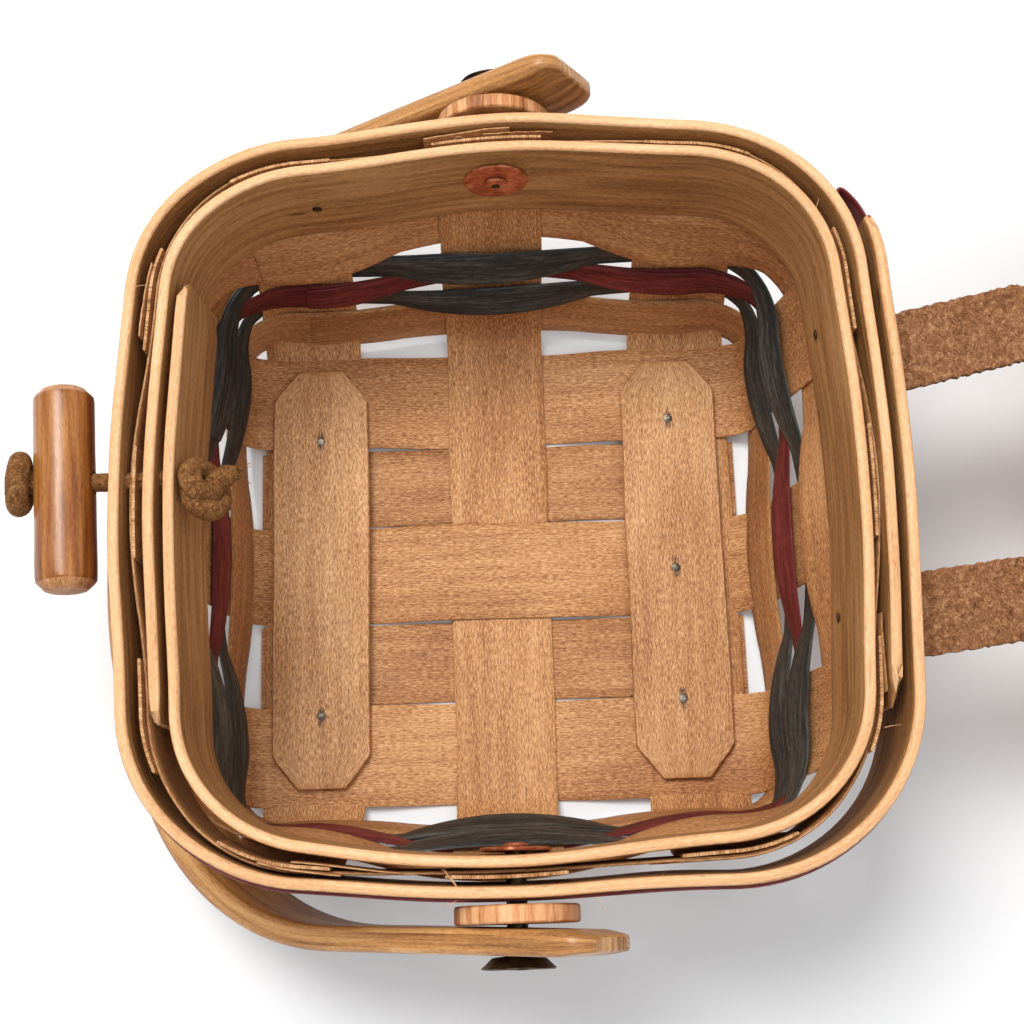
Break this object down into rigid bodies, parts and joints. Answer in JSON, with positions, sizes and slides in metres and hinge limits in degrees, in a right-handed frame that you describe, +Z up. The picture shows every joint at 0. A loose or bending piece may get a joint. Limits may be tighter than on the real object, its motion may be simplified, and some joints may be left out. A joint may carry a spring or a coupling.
{
  "type": "picnic basket",
  "caption": "Square woven splint basket with lapped bent-wood rim bands, a swinging bail, a peg toggle and a strap-hinged woven lid, shown open.",
  "frame": {"origin": "centre of the basket's underside, on the plane it stands on", "axes": "+Z up; -Y to the front, where the toggle is; +Y to the back, where the hinge straps and the turned-back lid are; the bail pivots lie on the +X and -X walls"},
  "size_m": [0.2262, 0.466, 0.1018],
  "materials": {
    "splint_natural": "oiled ash or maple splint, fine long grain",
    "splint_gray": "dyed dark blue-gray splint, matt",
    "splint_red": "dyed burgundy splint, matt",
    "trim_red": "dyed burgundy veneer strip, satin",
    "slat_wood": "sanded maple slat, satin",
    "band_wood": "bent maple band, satin",
    "bail_wood": "steam-bent maple, satin lacquer",
    "spacer_wood": "turned maple disc, end grain at the rim",
    "peg_wood": "turned and stained peg, satin",
    "thong_leather": "round leather lace, worn",
    "strap_leather": "split leather, suede side showing when open",
    "copper": "tarnished copper",
    "bronze": "dark oxidised bronze",
    "steel_tack": "blunt tacks and brads, dull"
  },
  "bodies": {
    "basket": {"bail_rivet_left": "bronze", "bail_rivet_right": "bronze", "bail_spacer_left": "spacer_wood", "bail_spacer_right": "spacer_wood", "floor_brad_back_1": "steel_tack", "floor_brad_back_2": "steel_tack", "floor_brad_back_3": "steel_tack", "floor_brad_front_1": "steel_tack", "floor_brad_front_2": "steel_tack", "floor_filler_left": "splint_natural", "floor_filler_right": "splint_natural", "floor_slat_back": "slat_wood", "floor_slat_front": "slat_wood", "rim_band_inner": "band_wood", "rim_band_outer": "band_wood", "rim_tack_back_left": "steel_tack", "rim_tack_back_right": "steel_tack", "rim_tack_left": "steel_tack", "rim_trim_strip": "trim_red", "rivet_washer_left": "copper", "rivet_washer_right": "copper", "strap_rivet_left": "bronze", "strap_rivet_right": "bronze", "strap_tab_left": "strap_leather", "strap_tab_right": "strap_leather", "toggle_thong": "thong_leather", "upright_front_back_left": "splint_natural", "upright_front_back_middle": "splint_natural", "upright_front_back_right": "splint_natural", "upright_side_side_back": "splint_natural", "upright_side_side_front": "splint_natural", "upright_side_side_middle": "splint_natural", "weaver_1_natural": "splint_natural", "weaver_2_gray": "splint_gray", "weaver_3_red": "splint_red", "weaver_4_gray": "splint_gray", "weaver_5_natural": "splint_natural", "weaver_6_rim": "splint_natural"},
    "bail": {"bail_handle": "bail_wood"},
    "peg": {"toggle_peg": "peg_wood"},
    "straps": {"hinge_strap_left": "strap_leather", "hinge_strap_right": "strap_leather"},
    "lid": {"lid_band_inner": "band_wood", "lid_band_outer": "band_wood", "lid_loop_tack": "steel_tack", "lid_rivet_left": "bronze", "lid_rivet_right": "bronze", "lid_splint_cross_1": "splint_natural", "lid_splint_cross_2": "splint_natural", "lid_splint_cross_3": "splint_natural", "lid_splint_cross_4": "splint_natural", "lid_splint_cross_5": "splint_natural", "lid_splint_long_1": "splint_natural", "lid_splint_long_2": "splint_natural", "lid_splint_long_3": "splint_natural", "lid_splint_long_4": "splint_natural", "lid_splint_long_5": "splint_natural", "lid_toggle_loop": "strap_leather", "strap_end_left": "strap_leather", "strap_end_right": "strap_leather"}
  },
  "joints": [
    {"name": "bail_swing", "type": "hinge", "parent": "basket", "child": "bail", "pos_m": [-0.0015, 0.002, 0.08], "axis": [-1, 0, 0], "range_deg": [0, 160]},
    {"name": "peg_turn", "type": "hinge", "parent": "basket", "child": "peg", "pos_m": [-0.006, -0.105, 0.088], "axis": [0, 1, 0], "range_deg": [-90, 90]},
    {"name": "strap_fold", "type": "hinge", "parent": "basket", "child": "straps", "pos_m": [-0.0015, 0.1036, 0.073], "axis": [1, 0, 0], "range_deg": [0, 90]},
    {"name": "lid_hinge", "type": "hinge", "parent": "straps", "child": "lid", "pos_m": [-0.0015, 0.1396, 0.073], "axis": [1, 0, 0], "range_deg": [0, 112]}
  ]
}
